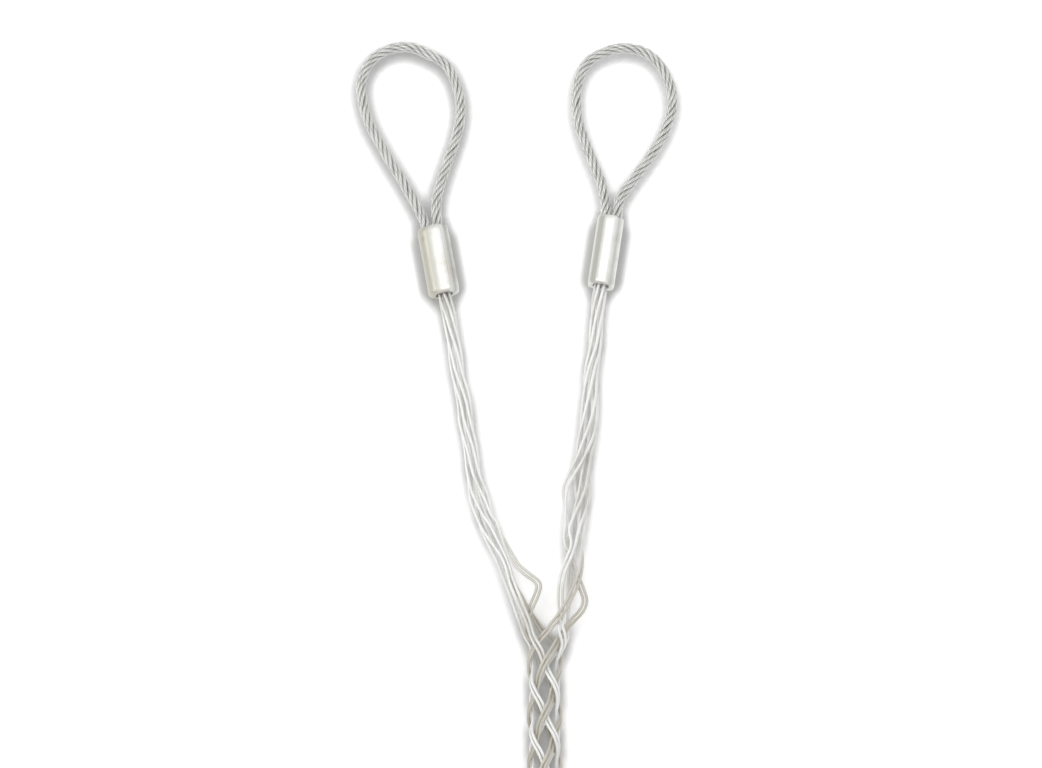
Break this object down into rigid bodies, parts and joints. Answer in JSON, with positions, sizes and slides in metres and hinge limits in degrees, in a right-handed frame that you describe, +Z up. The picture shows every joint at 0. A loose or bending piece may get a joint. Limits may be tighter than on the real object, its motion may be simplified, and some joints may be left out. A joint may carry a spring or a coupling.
{
  "type": "cable pulling grip",
  "caption": "Woven wire mesh tube that grips a cable, split into two legs, each crimped in a ferrule to a wire rope eye for pulling or hanging.",
  "frame": {"origin": "on the surface that the grip lies on, under the middle of its bounding box", "axes": "+Y along the grip from the open tail of the mesh to the rope eyes, +Z up from the surface, +X to the right seen from above"},
  "size_m": [0.128, 0.3286, 0.0134],
  "materials": {
    "galvanised_strand": "bright galvanised wire",
    "galvanised_rope": "bright galvanised wire rope",
    "ferrule_metal": "pressed, satin, slightly dull"
  },
  "bodies": {
    "root": {"left_ferrule": "ferrule_metal", "right_ferrule": "ferrule_metal", "left_eye_rope": "galvanised_rope", "right_eye_rope": "galvanised_rope", "mesh_strand_1": "galvanised_strand", "mesh_strand_2": "galvanised_strand", "mesh_strand_3": "galvanised_strand", "mesh_strand_4": "galvanised_strand", "mesh_strand_5": "galvanised_strand", "mesh_strand_6": "galvanised_strand", "mesh_strand_7": "galvanised_strand", "mesh_strand_8": "galvanised_strand"}
  },
  "joints": []
}
